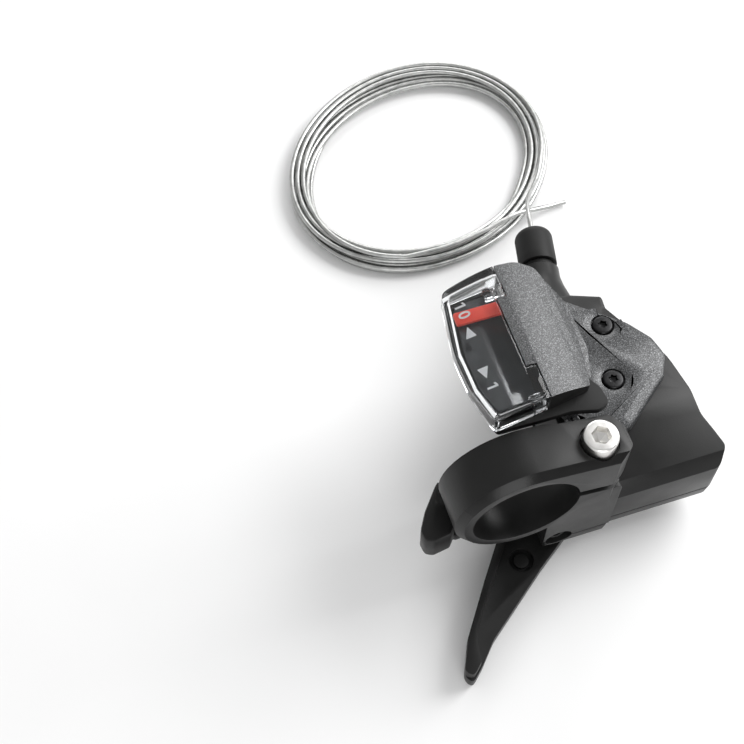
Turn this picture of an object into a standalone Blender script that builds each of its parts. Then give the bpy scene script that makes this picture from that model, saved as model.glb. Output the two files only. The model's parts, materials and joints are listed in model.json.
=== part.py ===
"""Thumb shifter, right hand, ten speeds, with its gear indicator and its coiled inner cable.

Frame: +X points forwards over the handlebar, +Y along the handlebar towards the stem, +Z up.
The part lies on z = 0 on the hub and the pad of its thumb lever. The numbers are millimetres,
and they become metres in the helpers. Every piece is placed from the clamp: its bore is on
the line x = 0, its front face is on y = 0, and the empty "shifter_frame" then moves the whole
part, so that the middle of its footprint is the origin.
"""

import math

import bpy
import bmesh
from mathutils import Matrix, Vector

MM = 0.001

# Where the clamp's bore and front face lie in the part's own frame.
FRAME_X = -13.67
FRAME_Y = -25.14

# Fits
GAP = 0.3                # clearance between pieces that touch
RUN = 0.4                # clearance round a piece that turns

# Handlebar clamp
BORE = 22.4              # for a 22.2 mm handlebar
CLAMP_WALL = 3.3
RING_BOTTOM = 16.5
BORE_HEIGHT = RING_BOTTOM + BORE / 2 + CLAMP_WALL
CLAMP_WIDTH = 11.0
CLAMP_BACK = 11.0        # y of its back face, from which its width runs forwards
CLAMP_FRONT = CLAMP_BACK - CLAMP_WIDTH
CLAMP_CHAMFER = 1.5
EAR_END = 22.0
EAR_SLOPE = 8.0         # degrees, down towards +X
SLIT = 2.0
SLIT_HEIGHT = BORE_HEIGHT + 1.2
BLOCK_LEFT, BLOCK_RIGHT = 6.0, 20.9
BLOCK_FRONT, BLOCK_DEPTH = 0.4, 9.4
BOLT_X, BOLT_Y = 15.4, 4.8
BOLT_RADIUS = 2.0
BOLT_HEAD_RADIUS = 3.5
BOLT_HEAD_HEIGHT = 4.0
BOLT_HEAD_TOP = BORE_HEIGHT + BORE / 2 + CLAMP_WALL + 0.7
NUT_RADIUS = 3.2

# Housing
BASE_UNDERSIDE = 5.0
PARTING = 10.0
BASE_FLOOR = 1.4
TOP = 25.5
ROOM_TOP = 21.4
WALL = 1.8
HOUSING_FRONT = 1.5
HOUSING_RIGHT = 46.9
HOUSING_LEFT = 14.6
HOUSING_SEAM = 21.2      # where the housing's front meets the clamp
COVER_THICKNESS = 2.0

# Mechanism, all on one upright axle
AXLE_X, AXLE_Y = 28.0, 18.5
AXLE_RADIUS = 2.4
AXLE_HEAD_RADIUS = 4.2
CABLE_RADIUS = 0.6
DRUM_RADIUS = 10.9
CABLE_WRAP = DRUM_RADIUS - 1.4      # radius at which the cable lies in the drum's groove
CABLE_HEIGHT = 17.5
EXIT_ANGLE = 13.0        # of the cable, from +Y towards +X
RATCHET_RADIUS = DRUM_RADIUS - 1.4
RATCHET_TEETH = 21
SLEEVE_RADIUS = 4.1
HEAD_ANGLE = 202.0       # of the cable's head on the drum
PAWL_PIN_ORBIT = DRUM_RADIUS + 1.4
PAWL_PIN_RADIUS = 1.0

# Barrel adjuster, measured along the cable from the drum
NECK_RADIUS = 4.5
NECK_START, NECK_END = 27.0, 40.8
CAP_START, CAP_END = 41.4, 51.4
CAP_RADIUS = 4.4
CAP_FLANGE_RADIUS = 5.2
CAP_ROOM = 3.7
INSERT_RADIUS = 2.4
CABLE_HOLE = 1.0

# Levers
HUB_RADIUS = 10.5
HUB_BOTTOM, HUB_TOP = 0.0, 4.6
THUMB_WALL_TOP = 6.4
BOSS_X, BOSS_Y = 1.8, 0.4
RELEASE_BOTTOM, RELEASE_TOP = 6.9, 9.3
RELEASE_HUB_RADIUS = DRUM_RADIUS - 2.3
PADDLE_BOTTOM, PADDLE_TOP = 13.4, 21.5
PADDLE_SIDE = 2.5 - BORE / 2 - CLAMP_WALL   # x of the side that passes the clamp's ring

# Gear indicator
POD_BOTTOM = 43.2
POD_RIM = 47.4
POD_SEAM = 44.7
POD_CROWN = 50.2
POD_SPLIT = 8.2
NEEDLE_START = 36.9
NEEDLE_LENGTH = 9.6
NEEDLE_WIDTH = 2.9
RAIL_X, RAIL_HEIGHT = 9.4, 46.0

TURN = 2 * math.pi
COS_EXIT = math.cos(math.radians(EXIT_ANGLE))
SIN_EXIT = math.sin(math.radians(EXIT_ANGLE))


# Scene, collections and materials -----------------------------------------------------------

def clear_scene():
    for thing in list(bpy.data.objects):
        bpy.data.objects.remove(thing)


def new_collection(name):
    collection = bpy.data.collections.new(name)
    bpy.context.scene.collection.children.link(collection)
    return collection


clear_scene()
PARTS = new_collection("thumb_shifter")
CUTTERS = new_collection("cutters")


def empty(name, x=0.0, y=0.0, z=0.0, parent=None):
    thing = bpy.data.objects.new(name, None)
    thing.location = (x * MM, y * MM, z * MM)
    thing.empty_display_size = 5 * MM
    thing.parent = parent
    PARTS.objects.link(thing)
    return thing


FRAME = empty("shifter_frame", FRAME_X, FRAME_Y)
MAIN_AXIS = {
    name: empty(name + "_axis", AXLE_X, AXLE_Y, 0, FRAME)
    for name in ("thumb_lever", "release_lever", "drum")
}


def material(name, colour, roughness, metallic=0.0, transmission=0.0):
    made = bpy.data.materials.new(name)
    made.use_nodes = True
    made.diffuse_color = (*colour, 1.0)
    shader = made.node_tree.nodes["Principled BSDF"]
    shader.inputs["Base Color"].default_value = (*colour, 1.0)
    shader.inputs["Roughness"].default_value = roughness
    shader.inputs["Metallic"].default_value = metallic
    shader.inputs["Transmission Weight"].default_value = transmission
    return made


BLACK = material("black_plastic", (0.022, 0.022, 0.021), 0.42)
MATT_BLACK = material("matt_black_plastic", (0.016, 0.016, 0.016), 0.6)
GREY = material("grey_metallic_paint", (0.16, 0.165, 0.17), 0.38, 0.4)
STEEL = material("stainless_steel", (0.62, 0.61, 0.59), 0.26, 1.0)
DARK_STEEL = material("blackened_steel", (0.05, 0.05, 0.05), 0.36, 0.8)
BRASS = material("brass", (0.62, 0.47, 0.2), 0.3, 1.0)
CLEAR = material("clear_plastic", (0.93, 0.94, 0.95), 0.06, 0.0, 0.95)
SCALE = material("scale_panel", (0.05, 0.055, 0.06), 0.25)
RED = material("red_plastic", (0.8, 0.05, 0.03), 0.35)
NYLON = material("white_nylon", (0.72, 0.71, 0.66), 0.5)
WIRE = material("cable_steel", (0.6, 0.6, 0.58), 0.3, 1.0)


# Shapes --------------------------------------------------------------------------------------

def add_object(name, data, paint=None, cutter=False):
    made = bpy.data.objects.new(name, data)
    made.parent = FRAME
    (CUTTERS if cutter else PARTS).objects.link(made)
    if cutter:
        made.hide_render = True
        made.display_type = "WIRE"
    elif paint:
        data.materials.append(paint)
    return made


def rounded(corners, steps=3):
    """Outline points from corners (x, y) or (x, y, radius): a radius becomes an arc."""
    points = []
    count = len(corners)
    for index, corner in enumerate(corners):
        here = Vector(corner[:2])
        if len(corner) < 3:
            points.append((here.x, here.y))
            continue
        before = Vector(corners[index - 1][:2]) - here
        after = Vector(corners[(index + 1) % count][:2]) - here
        reach = corner[2] / math.tan(before.angle(after) / 2)
        reach = min(reach, 0.49 * before.length, 0.49 * after.length)
        start = here + before.normalized() * reach
        end = here + after.normalized() * reach
        for step in range(steps + 1):
            part = step / steps
            point = (1 - part) ** 2 * start + 2 * part * (1 - part) * here + part ** 2 * end
            points.append((point.x, point.y))
    return points


def arc(centre_x, centre_y, radius, start, end, steps):
    """Points on an arc, from one angle in degrees to another."""
    angles = [math.radians(start + (end - start) * step / steps) for step in range(steps + 1)]
    return [(centre_x + radius * math.cos(a), centre_y + radius * math.sin(a)) for a in angles]


def inset(corners, distance):
    """The same outline, which runs anticlockwise, with every side moved inwards."""
    moved = []
    count = len(corners)
    for index, corner in enumerate(corners):
        before, here, after = (Vector(corners[(index + k) % count][:2]) for k in (-1, 0, 1))
        first, second = (here - before).normalized(), (after - here).normalized()
        normal = Vector((-first.y - second.y, first.x + second.x)).normalized()
        across = max(0.4, normal.dot(Vector((-first.y, first.x))))
        point = here + normal * distance / across
        moved.append((point.x, point.y, *[max(0.1, r - distance) for r in corner[2:]]))
    return moved


def loft(name, corners, levels, paint=None, cutter=False, steps=3):
    """An upright solid: at each level (z, distance) the outline is moved in by distance."""
    shape = bmesh.new()
    rings = []
    for height, distance in levels:
        outline = rounded(inset(corners, distance), steps)
        rings.append([shape.verts.new((x * MM, y * MM, height * MM)) for x, y in outline])
    shape.faces.new(rings[0][::-1])
    shape.faces.new(rings[-1])
    count = len(rings[0])
    for low, high in zip(rings, rings[1:]):
        for index in range(count):
            after = (index + 1) % count
            shape.faces.new((low[index], low[after], high[after], high[index]))
    mesh = bpy.data.meshes.new(name)
    shape.to_mesh(mesh)
    shape.free()
    return add_object(name, mesh, paint, cutter)


def slab(name, corners, low, high, paint=None, cutter=False, soft_top=0.0, soft_bottom=0.0,
         steps=3):
    """A flat outline with a thickness, and with its top or bottom edges rounded."""
    levels = [(low + 0.3 * soft_bottom, 0.3 * soft_bottom), (low + soft_bottom, 0)]
    levels = [(low, soft_bottom)] + levels if soft_bottom else [(low, 0)]
    if soft_top:
        levels += [(high - soft_top, 0), (high - 0.3 * soft_top, 0.3 * soft_top),
                   (high, soft_top)]
    else:
        levels += [(high, 0)]
    return loft(name, corners, levels, paint, cutter, steps)


def turned(name, profile, paint=None, steps=32, cutter=False, closed=True):
    """A turned piece: profile points (radius, z), down the outer side and up the inner one."""
    mesh = bpy.data.meshes.new(name)
    shape = bmesh.new()
    points = [shape.verts.new((r * MM, 0, z * MM)) for r, z in profile]
    pairs = list(zip(points, points[1:]))
    if closed:
        pairs.append((points[-1], points[0]))
    for pair in pairs:
        shape.edges.new(pair)
    shape.to_mesh(mesh)
    shape.free()
    made = add_object(name, mesh, paint, cutter)
    screw = made.modifiers.new("turn", "SCREW")
    screw.angle = TURN
    screw.steps = screw.render_steps = steps
    screw.use_merge_vertices = True
    screw.merge_threshold = 0.00001
    return made


def disc(name, radius, low, high, paint=None, steps=32, cutter=False, bore=0.0):
    """A round plate, or a ring when it has a bore."""
    if bore:
        profile = [(bore, high), (radius, high), (radius, low), (bore, low)]
        return turned(name, profile, paint, steps, cutter)
    profile = [(0, high), (radius, high), (radius, low), (0, low)]
    return turned(name, profile, paint, steps, cutter, closed=False)


def put(made, x=0.0, y=0.0, z=0.0, turn=(0, 0, 0)):
    made.location = (x * MM, y * MM, z * MM)
    made.rotation_euler = [math.radians(angle) for angle in turn]
    return made


def across_x(made):
    """Turns a slab so that its outline (x, y) becomes (y, z) and its thickness runs along X."""
    made.data.transform(Matrix(((0, 0, 1, 0), (1, 0, 0, 0), (0, 1, 0, 0), (0, 0, 0, 1))))
    return made


def facing_front(made):
    """Turns a slab so that its outline (x, y) becomes (x, z) and its top faces -Y."""
    made.data.transform(Matrix.Rotation(math.pi / 2, 4, "X"))
    return made


def tube(name, points, radius, paint, resolution=2):
    """A wire along points, with filled ends."""
    curve = bpy.data.curves.new(name, "CURVE")
    curve.dimensions = "3D"
    curve.bevel_depth = radius * MM
    curve.bevel_resolution = resolution
    curve.use_fill_caps = True
    spline = curve.splines.new("POLY")
    spline.points.add(len(points) - 1)
    for point, place in zip(spline.points, points):
        point.co = (*(value * MM for value in place), 1)
    return add_object(name, curve, paint)


def helix(centre, radius, low, high, turns, per_turn=12):
    """Points of an upright coil spring."""
    count = int(turns * per_turn)
    points = []
    for step in range(count + 1):
        angle = TURN * step / per_turn
        height = low + (high - low) * step / count
        points.append((centre[0] + radius * math.cos(angle),
                       centre[1] + radius * math.sin(angle), height))
    return points


def change(made, other, operation):
    boolean = made.modifiers.new(operation.lower(), "BOOLEAN")
    boolean.operation = operation
    boolean.solver = "EXACT"
    boolean.object = other


def cut(made, *cutters):
    for cutter in cutters:
        change(made, cutter, "DIFFERENCE")


def join(made, *others):
    for other in others:
        change(made, other, "UNION")


def turns_with(made, axis):
    """Parents a moving piece to the empty on its joint's axis, without moving it."""
    made.parent = axis
    made.matrix_parent_inverse = Matrix.Translation(-axis.location)
    return made


def polar(radius, angle, centre=(AXLE_X, AXLE_Y)):
    turn = math.radians(angle)
    return centre[0] + radius * math.cos(turn), centre[1] + radius * math.sin(turn)


# The cable's line: it leaves the drum at a tangent and runs straight through the barrel.
LEAVES_X, LEAVES_Y = polar(CABLE_WRAP, 180 - EXIT_ANGLE)


def on_cable(distance):
    return (LEAVES_X + SIN_EXIT * distance, LEAVES_Y + COS_EXIT * distance, CABLE_HEIGHT)


def along_cable(made, distance=0.0):
    """Lays a piece that was turned round Z on the cable's line, its top towards the exit."""
    x, y, z = on_cable(distance)
    return put(made, x, y, z, (-90, 0, -EXIT_ANGLE))


# Housing -------------------------------------------------------------------------------------

ROUND_WALL = DRUM_RADIUS + 0.7 + WALL
SEAM_ANGLE = 360 - math.degrees(math.acos((HOUSING_SEAM - AXLE_X) / ROUND_WALL))
BACK = [(HOUSING_RIGHT - 1.8, HOUSING_FRONT, 1.8), (HOUSING_RIGHT, 4.6, 1.6), (45.8, 8.2, 3),
        (44.5, 12.0, 4), (44.9, 18.0, 8), (43.5, 27.8, 14), (37.4, 38.8, 4), (35.7, 42.4, 1.5),
        (36.0, 45.5, 1.0), (29.0, 48.2, 4), (22.5, 48.8, 4),
        (HOUSING_LEFT, 43.0, 5)]
HOUSING_CORNERS = ([(HOUSING_SEAM, HOUSING_FRONT)] + BACK
                   + arc(AXLE_X, AXLE_Y, ROUND_WALL, 180, SEAM_ANGLE, 8))
BASE_CORNERS = ([(BLOCK_LEFT, BLOCK_FRONT, 1.2), (20.4, BLOCK_FRONT),
                 (HOUSING_SEAM, HOUSING_FRONT)] + BACK
                + arc(AXLE_X, AXLE_Y, ROUND_WALL, 180, 208, 4)
                + [(12.5, BLOCK_DEPTH + 0.6, 1.5), (BLOCK_LEFT, BLOCK_DEPTH, 1.2)])
BASE_SCREWS = [(40.0, 7.0), (38.4, 31.4), (20.2, 41.8)]
COVER_SCREWS = [(32.2, 37.1), (29.1, 24.0)]
HOLDING_PIN_ANGLE, DRIVE_PIN_ANGLE = -70.0, -8.0
WIRE_X, WIRE_Y = 16.9, 22.0
PORT_X, PORT_RADIUS = 9.5, 3.0


def drill(name, x, y, radius, low, high, steps=16):
    """A cutter for an upright round hole."""
    return put(disc(name, radius, low, high, steps=steps, cutter=True), x, y)


def screw_hole(name, x, y, head_from, head_to, end):
    """A cutter for a screw: its head's room, then the hole for its shank."""
    points = [(0, head_to), (2.6, head_to), (2.6, head_from), (1.5, head_from), (1.5, end),
              (0, end)]
    if head_to < head_from:
        points = points[::-1]
    return put(turned(name, points, steps=20, cutter=True, closed=False), x, y)


def upper_housing():
    made = slab("upper_housing", HOUSING_CORNERS, PARTING + GAP, TOP, BLACK, soft_top=0.9)
    neck = along_cable(turned("neck", [
        (0, NECK_END), (NECK_RADIUS - 0.3, NECK_END), (NECK_RADIUS, NECK_END - 0.3),
        (NECK_RADIUS, 38.0), (5.0, 35.5), (6.4, 31.0), (6.4, NECK_START), (0, NECK_START)],
        steps=32, cutter=True, closed=False))
    room = slab("housing_room", inset(HOUSING_CORNERS, WALL), PARTING - 1, ROOM_TOP,
                cutter=True)
    join(made, neck)
    cut(made, front_cutter(), room)
    for number, (x, y) in enumerate(BASE_SCREWS):
        join(made, drill(f"screw_post_{number}", x, y, 2.5, PARTING + 2 * GAP, ROOM_TOP + 1, 20))
        cut(made, drill(f"screw_thread_{number}", x, y, 1.45, PARTING - 1, PARTING + 6))
    for number, (x, y) in enumerate(COVER_SCREWS):
        cut(made, drill(f"cover_thread_{number}", x, y, 1.45, TOP - 3.4, TOP + 1))
    pin_x, pin_y = polar(PAWL_PIN_ORBIT, HOLDING_PIN_ANGLE)
    cut(made,
        along_cable(disc("cable_hole", CABLE_HOLE + 0.2, -4, NECK_END + 1, steps=16,
                         cutter=True)),
        along_cable(disc("insert_seat", INSERT_RADIUS + GAP, NECK_END - 8, NECK_END + 1,
                         steps=24, cutter=True)),
        drill("axle_hole", AXLE_X, AXLE_Y, AXLE_RADIUS + GAP, ROOM_TOP - 1, ROOM_TOP + 2.2, 24),
        drill("holding_pin_seat", pin_x, pin_y, PAWL_PIN_RADIUS + GAP, ROOM_TOP - 1,
              ROOM_TOP + 1.2),
        drill("wire_hole", WIRE_X, WIRE_Y, 0.75, ROOM_TOP - 1, TOP + 1))


def front_cutter():
    """Takes away the broad chamfer and the sloping forehead along the front."""
    profile = [(HOUSING_FRONT - 6, 19.6), (HOUSING_FRONT, 19.6), (3.7, 22.9), (16, TOP),
               (16, TOP + 5), (HOUSING_FRONT - 6, TOP + 5)]
    return across_x(slab("front_cutter", profile, HOUSING_SEAM - 9, HOUSING_RIGHT + 5,
                         cutter=True))


def base_cover():
    made = loft("base_cover", BASE_CORNERS, [(BASE_UNDERSIDE, 1.4), (BASE_UNDERSIDE + 0.4, 0.9),
                                             (BASE_UNDERSIDE + 1.6, 0.4), (PARTING, 0)], BLACK)
    room = slab("base_room", inset(HOUSING_CORNERS, WALL), BASE_UNDERSIDE + BASE_FLOOR,
                PARTING + 1, cutter=True)
    slot = slab("release_slot", [(4, 11.0), (20, 8.0), (24, 8.0), (24, 30.5), (4, 32.5)],
                RELEASE_BOTTOM - RUN, PARTING + 1, cutter=True)
    cut(made, room, slot, port_cutter(),
        drill("sleeve_hole", AXLE_X, AXLE_Y, SLEEVE_RADIUS + RUN, 0, 8, 32))
    for number, (x, y) in enumerate(BASE_SCREWS):
        join(made, drill(f"base_boss_{number}", x, y, 2.9, BASE_UNDERSIDE + 0.7,
                         PARTING - 0.3, 24))
    for number, (x, y) in enumerate(BASE_SCREWS):
        cut(made, screw_hole(f"base_screw_hole_{number}", x, y, BASE_UNDERSIDE + 1.6, 0, 12))


def port_cutter():
    hole = disc("cable_port_hole", PORT_RADIUS, -1, 4.5, steps=32, cutter=True)
    return put(hole, PORT_X, 0, PARTING + GAP / 2, (-90, 0, 0))


def cable_port_plug():
    plug = turned("cable_port_plug",
                  [(0, 4.2), (PORT_RADIUS - GAP, 4.2), (PORT_RADIUS - GAP, 2.0),
                   (1.6, 1.4), (0.9, 1.4), (0.9, 2.4), (0, 2.4)], MATT_BLACK, 32, closed=False)
    put(plug, PORT_X, 0, PARTING + GAP / 2, (-90, 0, 0))


def cover_plate():
    outline = [(16.2, 17.2, 1), (22.0, 12.2, 2), (28.4, 12.6, 2), (39.8, 21.6, 2),
               (42.3, 26.6, 3), (41.2, 31.2, 3), (37.6, 36.4, 6), (32.0, 41.2, 6),
               (26.2, 46.2, 2), (16.2, 46.2, 2)]
    low, high = TOP + GAP, TOP + GAP + COVER_THICKNESS
    made = slab("cover_plate", outline, low, high, GREY, soft_top=0.9)
    riser = [(15.6, 18.0, 2), (19.4, 18.2, 2), (21.4, 25, 6), (21.4, 36, 6), (19.2, 43.2, 2),
             (15.6, 43.2, 2)]
    join(made, slab("cover_riser", riser, low + 1, POD_BOTTOM - GAP, cutter=True))
    cut(made, drill("wire_channel", WIRE_X, WIRE_Y, 0.75, 0, 80),
        across_x(slab("plate_slope", [(5, TOP - 2.6 + GAP), (16.2, TOP + GAP),
                                      (5, TOP + GAP)], 10, 50, cutter=True)))
    for number, (x, y) in enumerate(COVER_SCREWS):
        cut(made, screw_hole(f"cover_screw_hole_{number}", x, y, low + 0.8, 40, 20))


def screw(name, x, y, seat, length, head_radius, head_height, up):
    """A screw with a star socket. Its head's underside is at the seat."""
    points = [(0, head_height), (head_radius * 0.8, head_height),
              (head_radius, head_height * 0.55), (head_radius, 0), (1.1, 0), (1.1, -length),
              (0, -length)]
    made = turned(name, points, DARK_STEEL, 24, closed=False)
    socket = disc(name + "_socket", head_radius * 0.42, head_height * 0.35, head_height + 1,
                  steps=6, cutter=True)
    cut(made, socket)
    for piece in (made, socket):
        put(piece, x, y, seat, (0 if up else 180, 0, 0))


def screws():
    for number, (x, y) in enumerate(COVER_SCREWS, 1):
        screw(f"cover_screw_{number}", x, y, TOP + GAP + 0.8 + GAP, 4.0, 2.25, 1.2, True)
    for number, (x, y) in enumerate(BASE_SCREWS, 1):
        screw(f"base_screw_{number}", x, y, BASE_UNDERSIDE + 1.6 - GAP, 7.5, 2.2, 1.1, False)


# Handlebar clamp -----------------------------------------------------------------------------

CLAMP_RADIUS = BORE / 2 + CLAMP_WALL


def ear_top(x):
    """Height of the ear's sloping top, which is a tangent of the ring."""
    slope = math.radians(EAR_SLOPE)
    return BORE_HEIGHT + CLAMP_RADIUS / math.cos(slope) - x * math.tan(slope)


def slit_height(x):
    return SLIT_HEIGHT - 0.16 * (x - BORE / 2)


def clamp_bracket():
    ring = arc(0, BORE_HEIGHT, CLAMP_RADIUS, 90 - EAR_SLOPE, 330, 28)
    outline = ring + [(BLOCK_RIGHT - 0.4, 23.6), (BLOCK_RIGHT - 0.4, slit_height(20)),
                      (EAR_END, slit_height(20) + 1.0), (EAR_END, ear_top(EAR_END), 1.6)]
    made = loft("clamp_bracket", outline, [(-CLAMP_BACK, 0), (-CLAMP_FRONT - CLAMP_CHAMFER, 0),
                                           (-CLAMP_FRONT, CLAMP_CHAMFER)], BLACK)
    facing_front(made)
    ear_keep = slab("ear_keep", [(-30, -6), (EAR_END - 4.6, -6), (EAR_END - 4.2, -0.3, 1),
                                 (EAR_END + 0.1, 2.6, 4), (EAR_END + 0.1, 6.6, 3),
                                 (EAR_END - 2.4, 10.0, 2),
                                 (9.0, 10.4), (3.0, CLAMP_BACK + 0.5),
                                 (-30, CLAMP_BACK + 0.5)], 0, 70, cutter=True)
    block = slab("clamp_block", [(BLOCK_LEFT, PARTING + GAP), (BLOCK_RIGHT, PARTING + GAP),
                                 (BLOCK_RIGHT, 29.0, 1.0), (9.0, 29.0), (BLOCK_LEFT, 22.0)],
                 -BLOCK_DEPTH, -BLOCK_FRONT, cutter=True)
    bore = disc("bore", BORE / 2, CLAMP_FRONT - 2, CLAMP_BACK + 2, steps=56, cutter=True)
    slit = [(BORE / 2 - 2, slit_height(BORE / 2 - 2) - SLIT / 2),
            (EAR_END + 3, slit_height(EAR_END + 3) - SLIT / 2),
            (EAR_END + 3, slit_height(EAR_END + 3) + SLIT / 2),
            (BORE / 2 - 2, slit_height(BORE / 2 - 2) + SLIT / 2)]
    nest = drill("drum_nest", AXLE_X, AXLE_Y, ROUND_WALL + GAP, 0, TOP + GAP, 48)
    seat = BOLT_HEAD_TOP - BOLT_HEAD_HEIGHT - GAP
    bolt_hole = turned("bolt_hole", [
        (0, 60), (BOLT_HEAD_RADIUS + 0.5, 60), (BOLT_HEAD_RADIUS + 0.5, seat),
        (BOLT_RADIUS + GAP, seat), (BOLT_RADIUS + GAP, 27.0), (NUT_RADIUS + GAP, 27.0),
        (NUT_RADIUS + GAP, 5.0), (0, 5.0)], steps=32, cutter=True, closed=False)
    change(made, ear_keep, "INTERSECT")
    join(made, facing_front(block))
    cut(made, put(bore, 0, 0, BORE_HEIGHT, (-90, 0, 0)),
        facing_front(slab("slit", slit, -CLAMP_BACK - 2, 2 - CLAMP_FRONT, cutter=True)), nest,
        put(bolt_hole, BOLT_X, BOLT_Y), port_cutter())


def clamp_bolt():
    made = turned("clamp_bolt", [
        (0, BOLT_HEAD_TOP), (BOLT_HEAD_RADIUS - 0.5, BOLT_HEAD_TOP),
        (BOLT_HEAD_RADIUS, BOLT_HEAD_TOP - 0.5),
        (BOLT_HEAD_RADIUS, BOLT_HEAD_TOP - BOLT_HEAD_HEIGHT),
        (BOLT_RADIUS, BOLT_HEAD_TOP - BOLT_HEAD_HEIGHT), (BOLT_RADIUS, 20.2),
        (BOLT_RADIUS - 0.5, 19.6), (0, 19.6)], STEEL, 40, closed=False)
    socket = put(disc("bolt_socket", 1.75, BOLT_HEAD_TOP - 2.1, BOLT_HEAD_TOP + 1, steps=6,
                      cutter=True), BOLT_X, BOLT_Y)
    cut(put(made, BOLT_X, BOLT_Y), socket)


def clamp_nut():
    put(disc("clamp_nut", NUT_RADIUS, 20.7, 26.7, BRASS, 24, bore=BOLT_RADIUS + GAP),
        BOLT_X, BOLT_Y)


# Barrel adjuster -----------------------------------------------------------------------------

def barrel():
    axis = empty("barrel_axis", *on_cable(0), parent=FRAME)
    cap = turned("barrel_adjuster", [
        (CABLE_HOLE, CAP_END - 3.2), (2.3, CAP_END - 3.2), (2.3, CAP_END),
        (CAP_RADIUS - 1.2, CAP_END), (CAP_RADIUS - 0.3, CAP_END - 0.8),
        (CAP_RADIUS, CAP_END - 2.0), (CAP_RADIUS, CAP_START + 3.4),
        (CAP_FLANGE_RADIUS, CAP_START + 2.8), (CAP_FLANGE_RADIUS, CAP_START),
        (CAP_ROOM, CAP_START), (CAP_ROOM, CAP_END - 4.4), (CABLE_HOLE, CAP_END - 4.4)],
        MATT_BLACK, 40)
    turns_with(along_cable(cap), axis)
    along_cable(turned("barrel_insert", [
        (CABLE_HOLE, CAP_END - 4.8), (INSERT_RADIUS, CAP_END - 4.8),
        (INSERT_RADIUS, NECK_END - 7.7), (CABLE_HOLE, NECK_END - 7.7)], BRASS, 24))
    coil = helix((0, 0), 3.05, CAP_START + 0.2, CAP_END - 5.1, 4, 12)
    along_cable(tube("barrel_spring", coil, 0.25, STEEL, 1))


# Mechanism -----------------------------------------------------------------------------------

def at_axle(made, axis=None):
    put(made, AXLE_X, AXLE_Y)
    return turns_with(made, MAIN_AXIS[axis]) if axis else made


def main_axle():
    at_axle(turned("main_axle", [
        (0, ROOM_TOP + 1.9), (AXLE_RADIUS, ROOM_TOP + 1.9), (AXLE_RADIUS, HUB_BOTTOM + 2.2),
        (AXLE_HEAD_RADIUS, HUB_BOTTOM + 2.2), (AXLE_HEAD_RADIUS, HUB_BOTTOM + 0.3),
        (0, HUB_BOTTOM + 0.3)], STEEL, 24, closed=False))


def toothed(tip, root, lean):
    """An outline of saw teeth: each rises over part of its pitch and drops after it."""
    pitch = 360 / RATCHET_TEETH
    points = []
    for tooth in range(RATCHET_TEETH):
        points.append(polar(root, tooth * pitch))
        points.append(polar(tip, (tooth + lean) * pitch))
    return points


def drum_parts():
    bore = drill("drum_bore", AXLE_X, AXLE_Y, AXLE_RADIUS + RUN, 0, 30, 24)
    ratchet = slab("ratchet_wheel", toothed(RATCHET_RADIUS, RATCHET_RADIUS - 1.3, 0.15), 11.4, 13.2, STEEL)
    index = slab("index_plate", toothed(RATCHET_RADIUS, RATCHET_RADIUS - 0.9, 0.5), 19.9, 21.0, STEEL)
    for wheel in (ratchet, index):
        cut(wheel, bore)
        turns_with(wheel, MAIN_AXIS["drum"])
    groove = CABLE_WRAP - CABLE_RADIUS - GAP
    drum = at_axle(turned("cable_drum", [
        (AXLE_RADIUS + RUN, 19.6), (DRUM_RADIUS, 19.6), (DRUM_RADIUS, 18.8), (groove, 18.2),
        (groove, 16.8), (DRUM_RADIUS, 16.2), (DRUM_RADIUS, 15.4), (8.0, 15.4), (8.0, 13.5),
        (6.6, 13.5), (6.6, 18.0), (AXLE_RADIUS + RUN, 18.0)], NYLON, 40), "drum")
    x, y = polar(CABLE_WRAP, HEAD_ANGLE)
    cut(drum, drill("head_socket", x, y, 1.9, 14.6, 20.5, 20))
    head = put(disc("cable_head", 1.6, 15.8, 19.2, BRASS, 20), x, y)
    turns_with(head, MAIN_AXIS["drum"])
    wrap = [(*polar(CABLE_WRAP, 168.6 + 19.5 * k / 6), CABLE_HEIGHT) for k in range(7)]
    turns_with(tube("cable_wrap", wrap, CABLE_RADIUS, WIRE), MAIN_AXIS["drum"])
    tube("cable_inside", [on_cable(d) for d in (0.5, 20, 36, CAP_END - 0.1)], CABLE_RADIUS,
         WIRE)
    tube("drum_spring", helix((AXLE_X, AXLE_Y), 4.9, 14.2, 17.3, 4), 0.4, STEEL, 1)


def index_detent():
    x, y = polar(RATCHET_RADIUS + GAP + 1.1, 62)
    put(disc("index_roller", 1.1, 19.9, 21.0, STEEL, 16), x, y)
    orbit = RATCHET_RADIUS + 2.2 + 2 * GAP + 0.35
    leaf = [(*polar(orbit, angle), 20.4) for angle in range(50, 92, 6)]
    tube("index_spring", leaf, 0.35, STEEL, 1)


def pawl(name, pin_angle):
    """A pawl at its pin, with its nose just clear of the ratchet's teeth."""
    outline = [polar(PAWL_PIN_ORBIT - 1.7, pin_angle - 5),
               polar(PAWL_PIN_ORBIT + 1.7, pin_angle - 7),
               polar(PAWL_PIN_ORBIT + 1.7, pin_angle + 7),
               polar(RATCHET_RADIUS + 2 * GAP + 1.2, pin_angle + 26),
               polar(RATCHET_RADIUS + 2 * GAP, pin_angle + 24)]
    made = slab(name, outline, 11.4, 13.2, STEEL)
    x, y = polar(PAWL_PIN_ORBIT, pin_angle)
    cut(made, drill(name + "_bore", x, y, PAWL_PIN_RADIUS + GAP, 8, 16))
    turns_with(made, empty(name + "_axis", x, y, parent=FRAME))
    return x, y


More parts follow.
